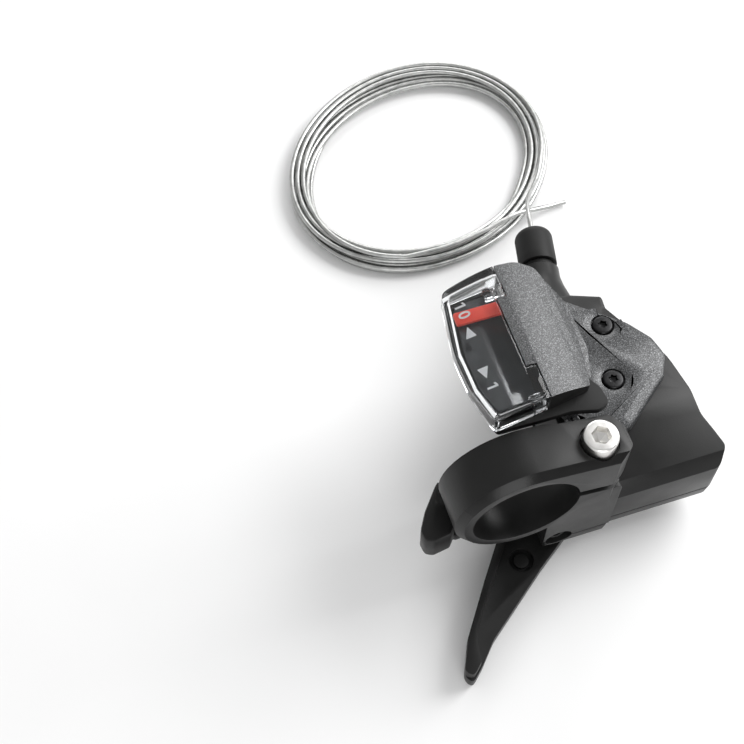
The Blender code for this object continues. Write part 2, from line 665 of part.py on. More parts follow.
def pawls():
    x, y = pawl("holding_pawl", HOLDING_PIN_ANGLE)
    put(disc("holding_pawl_pin", PAWL_PIN_RADIUS, BASE_UNDERSIDE + BASE_FLOOR + GAP,
             ROOM_TOP + 0.9, STEEL, 16), x, y)
    tube("holding_pawl_spring", helix((x, y), 1.6, 13.8, 15.0, 2, 10), 0.2, STEEL, 1)
    x, y = pawl("drive_pawl", DRIVE_PIN_ANGLE)
    pin = put(disc("drive_pawl_pin", PAWL_PIN_RADIUS, 9.0, 14.2, STEEL, 16), x, y)
    turns_with(pin, MAIN_AXIS["thumb_lever"])


def drive_plate():
    """The steel plate that the thumb lever turns: hexagon, sleeve, disc and pawl arm."""
    angle = DRIVE_PIN_ANGLE
    root, disc_radius, reach = DRUM_RADIUS - 2.9, DRUM_RADIUS - 2.1, PAWL_PIN_ORBIT + 1.3
    arm = [polar(root, angle - 22), polar(reach, angle - 9), polar(reach + 0.6, angle),
           polar(reach, angle + 9), polar(root, angle + 22)]
    rim = arc(AXLE_X, AXLE_Y, disc_radius, angle + 26, angle + 334, 28)
    made = slab("drive_plate", arm + rim, 9.7, 11.0, STEEL)
    x, y = polar(PAWL_PIN_ORBIT, angle)
    join(made, drill("drive_sleeve", AXLE_X, AXLE_Y, SLEEVE_RADIUS, 4.9, 10.2, 32),
         drill("drive_hexagon", AXLE_X, AXLE_Y, SLEEVE_RADIUS, 3.3, 5.4, 6))
    cut(made, drill("drive_bore", AXLE_X, AXLE_Y, AXLE_RADIUS + RUN, 0, 20, 24),
        drill("drive_pin_seat", x, y, PAWL_PIN_RADIUS + GAP, 8, 12))
    turns_with(made, MAIN_AXIS["thumb_lever"])


# Levers --------------------------------------------------------------------------------------

def thumb_lever():
    blade = [(-14.2, -18.9, 1.2), (-9.9, -14.2, 6), (5.4, -2.4, 8), (12, 2.2), (22, 9.3)]
    edge = [(19.5, 24.9), (9.5, 18.6), (3.4, 12.2), (-1.9, 5.8, 6), (-7.4, -1.6, 6),
            (-15.2, -12.6, 6), (-18.4, -19.6, 2), (-17.2, -21.6, 1.6)]
    hub = arc(AXLE_X, AXLE_Y, HUB_RADIUS, -118, 140, 22)
    made = slab("thumb_lever", blade + hub + edge, HUB_BOTTOM, HUB_TOP - 1.0, BLACK,
                soft_bottom=0.5)
    wall = [(-18.4, -19.4, 1.2), (-17.0, -21.0, 1.2), (-14.4, -18.6, 1.0), (-13.6, -12.6, 6),
            (-6.0, -2.6, 6), (-0.8, 4.2, 0.5), (-2.0, 5.4, 0.5), (-7.4, -1.8, 6),
            (-15.2, -12.8, 6)]
    join(made, drill("lever_hub", AXLE_X, AXLE_Y, HUB_RADIUS - 0.2, HUB_BOTTOM + 1, HUB_TOP, 40),
         slab("thumb_wall", wall, HUB_BOTTOM + 1.2, THUMB_WALL_TOP, cutter=True))
    cut(made, drill("boss_recess", BOSS_X, BOSS_Y, 2.7, HUB_TOP - 2.4, HUB_TOP + 4, 32),
        drill("head_room", AXLE_X, AXLE_Y, AXLE_HEAD_RADIUS + RUN, -1, HUB_BOTTOM + 2.5, 32),
        drill("lever_bore", AXLE_X, AXLE_Y, AXLE_RADIUS + RUN, 0, 8, 24),
        drill("hexagon_socket", AXLE_X, AXLE_Y, SLEEVE_RADIUS + GAP * 1.3, 3.0, 6, 6),
        at_axle(disc("spring_groove", 9.0, 2.6, 6, steps=32, bore=6.2, cutter=True)))
    join(made, drill("lever_boss", BOSS_X, BOSS_Y, 1.6, HUB_BOTTOM + 1, HUB_TOP - 1.5, 24))
    turns_with(made, MAIN_AXIS["thumb_lever"])
    tube("thumb_lever_spring", helix((AXLE_X, AXLE_Y), 7.6, 3.2, 4.25, 1.5, 18), 0.3, STEEL, 1)


def release_lever():
    hub = arc(AXLE_X, AXLE_Y, RELEASE_HUB_RADIUS, -138, 150, 24)
    side = PADDLE_SIDE
    arm = [(20.4, 22.4), (13.0, 20.6), (-4.0, 17.4, 4), (side - 0.2, 16.6, 1),
           (side - 0.9, 11, 2), (side + 0.7, 7.6, 2), (6.0, 11.4, 3), (13.0, 12.0)]
    made = slab("release_lever", hub + arm, RELEASE_BOTTOM, RELEASE_TOP, BLACK)
    paddle = [(side, 16.9, 0.8), (side - 5.4, 10.2, 5), (side - 7.5, 6.6, 2),
              (side - 7.2, 4.2, 1.4), (side - 5.6, 3.4, 1.4), (side - 1.8, 4.0, 1),
              (side - 0.3, 5.8, 1)]
    web = [(side - 0.2, 16.6, 0.8), (side - 2.8, 13.2, 0.8), (side - 2.6, 8.4, 0.8),
           (side - 0.5, 8.0, 0.8)]
    join(made, slab("release_web", web, RELEASE_BOTTOM + 0.2, PADDLE_BOTTOM + 2, cutter=True),
         slab("release_paddle", paddle, PADDLE_BOTTOM, PADDLE_TOP, cutter=True, soft_top=0.6,
              soft_bottom=0.8))
    cut(made, drill("release_bore", AXLE_X, AXLE_Y, SLEEVE_RADIUS + RUN, 0, 12, 32))
    turns_with(made, MAIN_AXIS["release_lever"])
    coil = [(27.0 + z, 31.0 + x, 8.1 + y) for x, y, z in helix((0, 0), 1.1, 0.0, 6.0, 6, 10)]
    tube("release_spring", coil, 0.25, STEEL, 1)


# Gear indicator ------------------------------------------------------------------------------

LENS_SIDE = [(-3.6, 42.8, 1.6), (-5.7, 29.0, 30), (-5.4, 20.5, 14), (-3.4, 12.0, 1.2)]
SHELL_SIDE = [(17.2, 15.0, 0.8), (18.4, 19.5, 12), (20.0, 29.0, 20), (19.2, 36.5, 14),
              (16.9, 43.8, 2.2), (13.0, 45.4, 4)]
TRAY_CORNERS = [(-2.7, 12.1, 1), (12.5, 12.0, 3), (17.6, 10.7, 1.6), (20.2, 11.4, 1.6),
                (19.8, 15.2, 1.5), (18.0, 18.5, 2), (19.4, 29, 16), (18.6, 36.3, 10),
                (16.4, 43.2, 2), (12.8, 44.8, 3), (POD_SPLIT, 44.4), (-3.1, 42.2, 1.4),
                (-5.1, 29.0, 20), (-4.8, 20.5, 10)]
TRAY_ROOM = [(-1.6, 15.2, 1), (15.4, 16.6, 1), (17.0, 22, 4), (17.8, 29, 10), (17.0, 36, 6),
             (14.8, 42.4, 2), (POD_SPLIT, 42.8), (-2.0, 40.8, 1.4), (-3.7, 29.0, 20),
             (-3.4, 20.5, 10)]


def indicator_base():
    made = slab("indicator_base", TRAY_CORNERS, POD_BOTTOM, POD_SEAM, MATT_BLACK)
    cut(made, slab("tray_room", TRAY_ROOM, POD_BOTTOM + 0.7, POD_RIM, cutter=True),
        drill("base_wire_channel", WIRE_X, WIRE_Y, 0.75, 0, 60))


def dome(name, lower):
    """A cutter of everything above the pod's crowned top, moved down by lower."""
    left, right, fall, rise = -6.4, 20.6, 2.6, 4.1
    top = []
    for step in range(13):
        part = step / 12
        height = POD_RIM - fall * part + rise * math.sin(math.pi * part) ** 0.8
        top.append((left + (right - left) * part, height - lower))
    outline = ([(-16, POD_RIM - lower)] + top + [(30, POD_RIM - fall - lower), (30, 70),
                                                 (-16, 70)])
    return facing_front(slab(name, outline, -60, 0, cutter=True))


def hollow_cap(made, room, name, thickness):
    """Gives a piece of the pod its crowned top and its room inside."""
    inner = slab(name + "_room", room, POD_SEAM - 1, POD_CROWN + 3, cutter=True, steps=3)
    cut(inner, dome(name + "_roof", thickness))
    cut(made, dome(name + "_top", 0.0), inner)


def indicator_shell():
    seam = POD_SPLIT + GAP / 2
    corners = [(seam, 13.6)] + SHELL_SIDE + [(seam, 45.0), (seam, 37.6), (seam - 2.2, 37.6),
                                             (seam - 2.2, 21.4), (seam, 21.4)]
    made = slab("indicator_shell", corners, POD_SEAM + GAP, POD_CROWN + 3, GREY, steps=3)
    hollow_cap(made, [(0, 15.4), (16.0, 16.8, 1), (17.2, 22), (18.2, 29), (17.4, 36),
                      (15.2, 42.2, 2), (0, 43.4)], "shell", 1.2)


def indicator_lens():
    seam = POD_SPLIT - GAP / 2
    corners = [(seam, 13.6), (seam, 21.1), (seam - 2.2, 21.1), (seam - 2.2, 37.9),
               (seam, 37.9), (seam, 45.0)] + LENS_SIDE
    made = slab("indicator_lens", corners, POD_SEAM + GAP, POD_CROWN + 3, CLEAR, steps=3)
    hollow_cap(made, [(12, 15.2), (12, 43.6), (-2.4, 41.6, 1), (-4.2, 29.0), (-3.9, 20.5),
                      (-2.2, 13.8, 1)], "lens", 1.0)


def indicator_inside():
    fitted = inset(TRAY_ROOM, 0.5)
    slab("indicator_scale", fitted[:1] + [(7.2, 16.6), (7.2, 42.0)] + fitted[7:],
         POD_BOTTOM + 1.0, 45.7, SCALE)
    half = NEEDLE_WIDTH / 2
    needle = slab("indicator_needle", [(-2.6, NEEDLE_START - half, 0.5),
                                       (NEEDLE_LENGTH - 2.6, NEEDLE_START - half),
                                       (NEEDLE_LENGTH - 2.6, NEEDLE_START + half),
                                       (-2.6, NEEDLE_START + half, 0.5)], 46.4, 47.2, RED)
    carriage = slab("needle_carriage", [(6.4, NEEDLE_START - 2.4), (11.4, NEEDLE_START - 2.4),
                                        (11.4, NEEDLE_START + 2.4), (6.4, NEEDLE_START + 2.4)],
                    46.0, 47.6, cutter=True)
    hanger = slab("carriage_hanger", [(7.8, NEEDLE_START - 2.4), (11.4, NEEDLE_START - 2.4),
                                      (11.4, NEEDLE_START + 2.4), (7.8, NEEDLE_START + 2.4)],
                  44.6, 46.6, cutter=True)
    rail = ("rail", RAIL_X, 0, RAIL_HEIGHT, (-90, 0, 0))
    join(needle, carriage, hanger)
    cut(needle, put(disc("rail_hole", 0.9, -10, 60, steps=16, cutter=True), *rail[1:]))
    turns_with(needle, empty("needle_slide_axis", RAIL_X, NEEDLE_START, RAIL_HEIGHT, FRAME))
    put(disc("needle_rail", 0.6, 16.8, 42.3, STEEL, 12), *rail[1:])
    coil = [(RAIL_X + x, z, RAIL_HEIGHT + y) for x, y, z in helix((0, 0), 1.2, 39.9, 42.0, 4, 8)]
    tube("needle_spring", coil, 0.2, STEEL, 1)
    wire = [(WIRE_X, WIRE_Y, height) for height in (21.9, 30.0, 38.0, 44.6)]
    tube("indicator_wire", wire, 0.4, WIRE)


# Free cable ----------------------------------------------------------------------------------

COIL_X, COIL_Y = 16.7, 110.6
COIL_LONG, COIL_SHORT = 33.4, 27.9     # half the length and width, along the middle of the turns
COIL_TURN = 30.0
COIL_BREADTH, COIL_TOP = 4.2, 3.7

LEAD_ROUTE = [(30.37, 71.01, 17.5), (31.6, 76.0, 17.1), (33.4, 81.0, 14.9),
              (36.1, 86.0, 11.1), (39.6, 90.9, 7.2), (43.0, 95.5, 5.2), (45.6, 100.5, 4.6)]
TAIL_ROUTE = [(5.2, 81.7, 4.6), (14.0, 82.0, 4.7), (24.0, 83.6, 4.7), (33.4, 86.0, 4.6),
              (39.0, 87.2, 2.6), (43.6, 87.9, 1.2), (48.6, 88.3, 0.7)]


def smooth(route, count):
    """Points evenly spread on a Catmull-Rom curve through the route."""
    spots = [Vector(p) for p in route]
    spots = [2 * spots[0] - spots[1]] + spots + [2 * spots[-1] - spots[-2]]
    points = []
    spans = len(route) - 1
    for step in range(count + 1):
        place = min(step / count * spans, spans - 1e-6)
        span = int(place)
        t = place - span
        a, b, c, d = spots[span:span + 4]
        points.append(0.5 * (2 * b + (c - a) * t + (2 * a - 5 * b + 4 * c - d) * t ** 2
                             + (3 * b - a - 3 * c + d) * t ** 3))
    return points


def free_cable():
    tube("cable_lead", smooth(LEAD_ROUTE, 18), CABLE_RADIUS, WIRE)
    tube("cable_tail", smooth(TAIL_ROUTE, 18), CABLE_RADIUS, WIRE)
    middle = (COIL_LONG + COIL_SHORT) / 2
    half = COIL_BREADTH / 2
    ring = turned("cable_coil", [
        (middle - half + 1, COIL_TOP), (middle + half - 1, COIL_TOP),
        (middle + half, COIL_TOP - 1), (middle + half, 1), (middle + half - 1, 0.05),
        (middle - half + 1, 0.05), (middle - half, 1), (middle - half, COIL_TOP - 1)], WIRE, 56)
    ring.scale = (COIL_LONG / middle, COIL_SHORT / middle, 1)
    put(ring, COIL_X, COIL_Y, 0, (0, 0, COIL_TURN))


def build():
    for piece in (upper_housing, base_cover, cable_port_plug, cover_plate, screws,
                  clamp_bracket, clamp_bolt, clamp_nut, barrel, main_axle, drum_parts,
                  index_detent, pawls, drive_plate, thumb_lever, release_lever,
                  indicator_base, indicator_shell, indicator_lens, indicator_inside,
                  free_cable):
        piece()


build()
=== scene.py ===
# %% [markdown]
# # A thumb shifter, finished in Blender
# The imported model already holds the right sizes, places and moving bodies of a right-hand
# ten-speed bicycle shifter. This lesson gives it its looks: softened mouldings, a clear lens
# over a printed scale, a steel bolt, a stranded cable, and a material for every piece.
# Everything is in metres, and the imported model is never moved.

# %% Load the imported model
import json
import math

import bpy
from mathutils import Matrix, Vector


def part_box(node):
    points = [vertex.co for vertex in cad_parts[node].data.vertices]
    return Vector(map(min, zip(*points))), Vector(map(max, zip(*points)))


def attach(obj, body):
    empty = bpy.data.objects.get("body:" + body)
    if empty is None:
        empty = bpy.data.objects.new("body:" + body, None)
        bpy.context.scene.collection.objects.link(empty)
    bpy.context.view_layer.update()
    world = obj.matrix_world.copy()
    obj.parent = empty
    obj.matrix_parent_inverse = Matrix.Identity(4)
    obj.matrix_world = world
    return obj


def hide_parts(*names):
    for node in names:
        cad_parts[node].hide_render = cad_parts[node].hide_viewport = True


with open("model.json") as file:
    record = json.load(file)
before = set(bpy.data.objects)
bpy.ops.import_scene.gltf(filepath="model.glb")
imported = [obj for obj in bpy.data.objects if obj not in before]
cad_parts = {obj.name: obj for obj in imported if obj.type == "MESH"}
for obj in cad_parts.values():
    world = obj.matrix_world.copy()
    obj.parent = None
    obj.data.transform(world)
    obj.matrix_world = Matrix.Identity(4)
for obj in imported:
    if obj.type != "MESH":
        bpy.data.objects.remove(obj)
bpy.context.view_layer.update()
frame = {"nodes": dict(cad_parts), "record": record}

MM = 0.001

# %% [markdown]
# ## Where things are
# The shifter is measured from its handlebar clamp: x = 0 and the bore's middle are on the
# handlebar's axis, and y = 0 is the clamp's front face. The clamp bolt stands 15.4 mm in front
# of the handlebar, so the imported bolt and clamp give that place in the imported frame.

# %% Find the clamp
BOLT_LOW, BOLT_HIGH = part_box("clamp_bolt")
BOLT = (BOLT_LOW + BOLT_HIGH) / 2
BOLT_FROM_BAR = 15.4 * MM
CLAMP = Vector((BOLT.x - BOLT_FROM_BAR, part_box("clamp_bracket")[0].y, 0))


def at(x, y, z):
    """A point given in millimetres from the clamp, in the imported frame."""
    return CLAMP + Vector((x, y, z)) * MM


print("clamp at", [round(value, 5) for value in CLAMP])

# %% [markdown]
# ## The camera
# The shifter lies on a table and is seen from above its clamp, a little over a hand away. A
# 63 mm lens keeps the shapes natural. The camera is turned slightly about its own axis.

# %% Place the camera
EYE = at(-59.41, -88.48, 265.87)
LOOK = Vector((0.14895, 0.47342, -0.86815)).normalized()
TILT = math.radians(0.468)

level_right = LOOK.cross(Vector((0, 0, 1))).normalized()
level_up = level_right.cross(LOOK)
right = level_right * math.cos(TILT) - level_up * math.sin(TILT)
up = level_up * math.cos(TILT) + level_right * math.sin(TILT)

bpy.ops.object.camera_add()
camera = bpy.context.object
camera.name = "table_camera"
camera.data.lens = 62.9
camera.data.sensor_width = 36
camera.data.clip_start = 0.01
camera.matrix_world = Matrix.Translation(EYE) @ Matrix((right, up, -LOOK)).transposed().to_4x4()
bpy.context.scene.camera = camera

# %% [markdown]
# ## Working in edit mode
# An operator acts on everything that is selected, so each step first deselects all, then makes
# one piece active. Faces are chosen by a test on their middle and their normal.


# %% Helpers for edit mode
def choose(piece):
    if bpy.context.mode != "OBJECT":
        bpy.ops.object.mode_set(mode="OBJECT")
    bpy.ops.object.select_all(action="DESELECT")
    piece.select_set(True)
    bpy.context.view_layer.objects.active = piece


def edit(piece, mode="FACE"):
    choose(piece)
    bpy.ops.object.mode_set(mode="EDIT")
    bpy.ops.mesh.select_mode(type=mode)
    bpy.ops.mesh.select_all(action="DESELECT")


def pick_faces(piece, test):
    """Enters edit mode with the faces selected whose middle and normal pass the test."""
    edit(piece)
    bpy.ops.object.mode_set(mode="OBJECT")
    for face in piece.data.polygons:
        face.select = bool(test(face.center, face.normal))
    bpy.ops.object.mode_set(mode="EDIT")


def pick_top(piece, limit=0.9):
    """Selects the faces that point up."""
    pick_faces(piece, lambda middle, normal: normal.z > limit)


def pick_bottom(piece, limit=0.9):
    """Selects the faces that point down."""
    pick_faces(piece, lambda middle, normal: normal.z < -limit)


def pick_edges(piece, test):
    """Enters edit mode with the edges selected whose two ends pass the test."""
    edit(piece, "EDGE")
    bpy.ops.object.mode_set(mode="OBJECT")
    points = piece.data.vertices
    for line in piece.data.edges:
        line.select = bool(test(points[line.vertices[0]].co, points[line.vertices[1]].co))
    bpy.ops.object.mode_set(mode="EDIT")


def extrude(x=0.0, y=0.0, z=0.0):
    bpy.ops.mesh.extrude_region_move(TRANSFORM_OT_translate={"value": (x, y, z)})


def leave():
    bpy.ops.object.mode_set(mode="OBJECT")


def settle(piece):
    """Puts the piece's place into its mesh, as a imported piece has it."""
    choose(piece)
    bpy.ops.object.transform_apply(location=True, rotation=True, scale=True)


def apply_all(piece):
    choose(piece)
    for modifier in list(piece.modifiers):
        bpy.ops.object.modifier_apply(modifier=modifier.name)


def soften(piece, width, segments=2, angle=30):
    """Rounds every edge that is sharper than the angle."""
    bevel = piece.modifiers.new("rounded edges", "BEVEL")
    bevel.width = width
    bevel.segments = segments
    bevel.limit_method = "ANGLE"
    bevel.angle_limit = math.radians(angle)
    bevel.use_clamp_overlap = True
    bevel.miter_outer = "MITER_ARC"
    apply_all(piece)


def cut(piece, cutter):
    """Cuts one mesh from another, and removes the cutter."""
    boolean = piece.modifiers.new("cut", "BOOLEAN")
    boolean.operation = "DIFFERENCE"
    boolean.solver = "EXACT"
    boolean.object = cutter
    apply_all(piece)
    bpy.data.objects.remove(cutter)


def cylinder(radius, low, high, x=0.0, y=0.0, corners=48):
    """An upright cylinder between two heights."""
    bpy.ops.mesh.primitive_cylinder_add(vertices=corners, radius=radius, depth=high - low,
                                        location=(x, y, (low + high) / 2))
    settle(bpy.context.object)
    return bpy.context.object


def box(low, high):
    """A block between two corners."""
    middle = (low + high) / 2
    bpy.ops.mesh.primitive_cube_add(size=1, location=middle)
    made = bpy.context.object
    made.scale = high - low
    settle(made)
    return made


def copy_of(node, name):
    """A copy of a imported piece, its loose triangles merged and its flat faces made whole."""
    piece = bpy.data.objects.new(name, frame["nodes"][node].data.copy())
    bpy.context.scene.collection.objects.link(piece)
    choose(piece)
    bpy.ops.mesh.customdata_custom_splitnormals_clear()
    edit(piece)
    bpy.ops.mesh.select_all(action="SELECT")
    bpy.ops.mesh.remove_doubles(threshold=0.002 * MM)
    bpy.ops.mesh.dissolve_limited(angle_limit=math.radians(0.6))
    leave()
    return piece


def deliver(piece, name, paint, body, nodes=(), smooth=32):
    """Names, smooths and paints a finished piece, and tells which body it rides on."""
    piece.name = name
    choose(piece)
    bpy.ops.object.shade_smooth_by_angle(angle=math.radians(smooth))
    piece.data.materials.clear()
    piece.data.materials.append(paint)
    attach(piece, body)
    if nodes:
        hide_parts(*nodes)
    print(name, len(piece.data.polygons), "faces")


# %% [markdown]
# ## Building materials from nodes
# Each finish is one Principled shader. Noise on Object coordinates, which are metres here, gives
# the grain, the colour change and the uneven gloss at their real size. Values that are the same
# all over stay on the shader's own sockets.


# %% Helpers for materials
class Finish:
    """A Principled material, with small tools that add noise, ramps and bump to it."""

    def __init__(self, name, colour, roughness, **values):
        self.material = bpy.data.materials.new(name)
        self.material.use_nodes = True
        self.nodes = self.material.node_tree.nodes
        self.links = self.material.node_tree.links
        self.shader = self.nodes["Principled BSDF"]
        self.place = self.nodes.new("ShaderNodeTexCoord").outputs["Object"]
        self.set("Base Color", (*colour, 1))
        self.set("Roughness", roughness)
        self.material.diffuse_color = (*colour, 1)
        for socket, value in values.items():
            self.set(socket.replace("_", " "), value)

    def set(self, socket, value):
        self.shader.inputs[socket].default_value = value

    def noise(self, size, detail=2.0, stretch=(1, 1, 1)):
        """Noise whose blotches are about this size, in metres."""
        mapping = self.nodes.new("ShaderNodeMapping")
        mapping.inputs["Scale"].default_value = stretch
        made = self.nodes.new("ShaderNodeTexNoise")
        made.inputs["Scale"].default_value = 1 / size
        made.inputs["Detail"].default_value = detail
        self.links.new(self.place, mapping.inputs["Vector"])
        self.links.new(mapping.outputs["Vector"], made.inputs["Vector"])
        return made.outputs["Fac"]

    def ramp(self, source, *stops):
        """Turns a value into colours: each stop is (place, grey or colour)."""
        made = self.nodes.new("ShaderNodeValToRGB")
        line = made.color_ramp
        while len(line.elements) < len(stops):
            line.elements.new(0.5)
        for element, (place, colour) in zip(line.elements, stops):
            element.position = place
            element.color = (*colour, 1) if isinstance(colour, tuple) else (colour,) * 3 + (1,)
        self.links.new(source, made.inputs["Fac"])
        return made.outputs["Color"]

    def colour(self, source):
        self.links.new(source, self.shader.inputs["Base Color"])

    def gloss(self, source, low, high):
        """Spreads the roughness between two values."""
        made = self.nodes.new("ShaderNodeMapRange")
        made.inputs["From Min"].default_value = 0.3
        made.inputs["From Max"].default_value = 0.7
        made.inputs["To Min"].default_value = low
        made.inputs["To Max"].default_value = high
        self.links.new(source, made.inputs["Value"])
        self.links.new(made.outputs["Result"], self.shader.inputs["Roughness"])

    def bump(self, source, depth, strength=0.5):
        """Adds relief of this depth, on top of any that is there."""
        made = self.nodes.new("ShaderNodeBump")
        made.inputs["Strength"].default_value = strength
        made.inputs["Distance"].default_value = depth
        self.links.new(source, made.inputs["Height"])
        normal = self.shader.inputs["Normal"]
        if normal.links:
            self.links.new(normal.links[0].from_socket, made.inputs["Normal"])
        self.links.new(made.outputs["Normal"], normal)


# %% [markdown]
# ## Moulded nylon
# The housing, the clamp and the levers are glass-filled nylon. Its skin has a fine spark-eroded
# grain of about a third of a millimetre, and its gloss is uneven where the plastic flowed.


# %% Black mouldings
def moulding(name, dark, light, smooth, rough, grain):
    made = Finish(name, (light,) * 3, rough, Specular_IOR_Level=0.28)
    flow = made.noise(9 * MM, 3)
    skin = made.noise(grain, 2)
    made.colour(made.ramp(flow, (0.3, (dark, dark, dark * 0.97)), (0.7, (light, light, light))))
    made.gloss(flow, smooth, rough)
    made.bump(skin, 0.03 * MM, 0.35)
    made.bump(made.noise(2.2 * MM, 2), 0.03 * MM, 0.15)
    return made.material


BLACK = moulding("black_nylon", 0.007, 0.011, 0.34, 0.46, 0.30 * MM)
# The chamfers' copy of the nylon: a smoother gloss, and a darker colour that is painted shade.
POLISHED_WITH_PAINTED_SHADE = moulding("polished_nylon_painted_shade", 0.002, 0.004, 0.26, 0.34, 0.6 * MM)
MATT_BLACK = moulding("matt_black_nylon", 0.006, 0.010, 0.48, 0.6, 0.42 * MM)

# %% [markdown]
# ## Metallic paint
# The cover plate and the indicator's shell are sprayed dark grey with fine aluminium flakes.
# Seen close, the flakes are light and dark specks, so a noise of a fifth of a millimetre is cut
# hard by a ramp, and a second noise makes their gloss uneven. A thin clear coat lies over them.


# %% Grey flake paint
def flake_paint():
    made = Finish("grey_flake_paint", (0.06, 0.062, 0.064), 0.4, Metallic=0.4,
                  Coat_Weight=0.25, Coat_Roughness=0.2)
    flakes = made.noise(0.20 * MM, 1.5)
    made.colour(made.ramp(flakes, (0.36, (0.014, 0.0145, 0.015)), (0.50, (0.042, 0.043, 0.045)),
                          (0.58, (0.085, 0.087, 0.09)), (0.68, (0.20, 0.205, 0.21))))
    made.gloss(made.noise(0.5 * MM, 1), 0.36, 0.54)
    made.bump(flakes, 0.02 * MM, 0.25)
    return made.material


GREY = flake_paint()

# %% [markdown]
# ## Metals
# The bolt is zinc-plated and turned, so it has fine rings round its axis. The screws are
# blackened, and the parts inside are plain steel and brass.


# %% Metals
def turned_metal(name, colour, roughness, middle=None, patchy=0.15):
    made = Finish(name, colour, roughness, Metallic=1.0)
    cloud = made.noise(1.6 * MM, 3)
    light = tuple(min(1, value * (1 + patchy)) for value in colour)
    dull = tuple(value * (1 - patchy) for value in colour)
    made.colour(made.ramp(cloud, (0.3, dull), (0.7, light)))
    made.gloss(cloud, roughness * (1 - patchy), roughness * (1 + patchy))
    if middle:
        centre = made.nodes.new("ShaderNodeMapping")
        centre.inputs["Location"].default_value = -middle
        rings = made.nodes.new("ShaderNodeTexWave")
        rings.wave_type = "RINGS"
        rings.rings_direction = "Z"
        rings.inputs["Scale"].default_value = 1.2 / MM
        rings.inputs["Distortion"].default_value = 0.6
        made.links.new(made.place, centre.inputs["Vector"])
        made.links.new(centre.outputs["Vector"], rings.inputs["Vector"])
        made.bump(rings.outputs["Fac"], 0.01 * MM, 0.3)
    made.bump(made.noise(0.25 * MM, 2), 0.008 * MM, 0.4)
    return made.material


ZINC = turned_metal("zinc_plated_steel", (0.80, 0.79, 0.77), 0.3, BOLT, 0.06)
STEEL = turned_metal("plain_steel", (0.62, 0.61, 0.59), 0.28)
DARK_STEEL = turned_metal("blackened_steel", (0.035, 0.035, 0.036), 0.34)
BRASS = turned_metal("brass", (0.66, 0.48, 0.20), 0.3)
WIRE = turned_metal("cable_steel", (0.50, 0.505, 0.495), 0.36)

# %% [markdown]
# ## The indicator's plastics
# The lens is clear polycarbonate with faint scuffs. Its refraction is set weaker than the real
# plastic's, so that its thick walls don't flare. Under it lie a dark grey scale with a glossy
# surface and a red needle, and white marks are printed on the inside of the lens.


# %% Lens, scale, needle, print and nylon
def simple_plastic(name, dark, light, smooth, rough, grain, **values):
    made = Finish(name, light, rough, **values)
    cloud = made.noise(grain * 6, 2)
    made.colour(made.ramp(cloud, (0.3, dark), (0.7, light)))
    made.gloss(cloud, smooth, rough)
    made.bump(made.noise(grain, 2), 0.01 * MM, 0.25)
    return made.material


def clear_plastic():
    made = Finish("clear_polycarbonate", (0.96, 0.97, 0.98), 0.03, Transmission_Weight=1.0,
                  IOR=1.38)
    scuffs = made.noise(0.6 * MM, 3, (1, 0.25, 1))
    made.gloss(scuffs, 0.0, 0.07)
    made.bump(made.noise(3 * MM, 1), 0.02 * MM, 0.15)
    return made.material


CLEAR = clear_plastic()
SCALE = simple_plastic("scale_panel", (0.030, 0.033, 0.036), (0.040, 0.043, 0.046), 0.10, 0.17,
                       0.5 * MM, Coat_Weight=0.4, Coat_Roughness=0.08)
RED = simple_plastic("red_needle", (0.92, 0.06, 0.03), (1.0, 0.09, 0.05), 0.28, 0.38,
                     0.4 * MM, Subsurface_Weight=0.15, Subsurface_Scale=0.5 * MM)
PRINT = simple_plastic("white_print", (0.78, 0.79, 0.8), (0.9, 0.9, 0.9), 0.4, 0.5, 0.2 * MM)
NYLON = simple_plastic("white_nylon", (0.66, 0.65, 0.60), (0.74, 0.73, 0.68), 0.4, 0.55,
                       0.5 * MM)

PAINTS = {"black": BLACK, "matt_black": MATT_BLACK, "grey": GREY, "steel": STEEL,
          "dark_steel": DARK_STEEL, "brass": BRASS, "clear": CLEAR, "scale": SCALE, "red": RED,
          "nylon": NYLON, "wire": WIRE}

# %% [markdown]
# ## The pieces inside
# The drum, its wheels, the pawls and the springs have the right shape already. They keep their
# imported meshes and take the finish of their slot.

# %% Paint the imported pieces
for part in frame["record"]["subparts"]:
    mesh = frame["nodes"][part["node"]].data
    mesh.materials.clear()
    mesh.materials.append(PAINTS[part["material_slot"]])
print(len(frame["nodes"]), "packed pieces painted")

# %% [markdown]
# ## The free cable
# About two metres of 1.2 mm stranded cable leave the barrel, sink to the table, run round in ten
# loose turns and end in a bare cut tip. A free cable is stiff, so its turns are wide and even.
# Nine turns lie in three layers of three, and the tenth lies beside them. Each layer wanders a
# little on its own, so the turns cross as real ones do, while neighbours in a layer keep apart.

# %% The cable's route
LEAD = [(30.37, 71.01, 17.5), (31.6, 76.0, 17.1), (33.4, 81.0, 14.9), (36.1, 86.0, 11.1),
        (39.6, 90.9, 7.2), (43.0, 95.5, 5.2), (45.6, 100.5, 4.6)]
TAIL = [(5.2, 81.7, 4.6), (14.0, 82.0, 4.7), (24.0, 83.6, 4.7), (33.4, 86.0, 4.6),
        (39.0, 87.2, 2.6), (43.6, 87.9, 1.2), (48.6, 88.3, 0.7)]
COIL_CENTRE = (16.7, 110.6)
COIL_LONG, COIL_SHORT = 33.4, 27.9
COIL_TURN = math.radians(30)
FIRST_ANGLE, LAST_ANGLE = math.radians(-54.3), math.radians(223.4 + 360 * 9)
COLUMN, LAYER = 1.45, 1.24        # distance between neighbours, and between layers
CROSSING = 4.6                    # height at which the lead and the tail pass over the coil
LOWEST = 0.65
PLACES = [(1, 3), (0, 3), (-1, 3), (-1, 2), (0, 2), (1, 2), (1, 1), (0, 1), (-1, 1), (-2.1, 2)]
STEPS_PER_TURN = 120


def ease(part):
    part = min(1, max(0, part))
    return part * part * (3 - 2 * part)


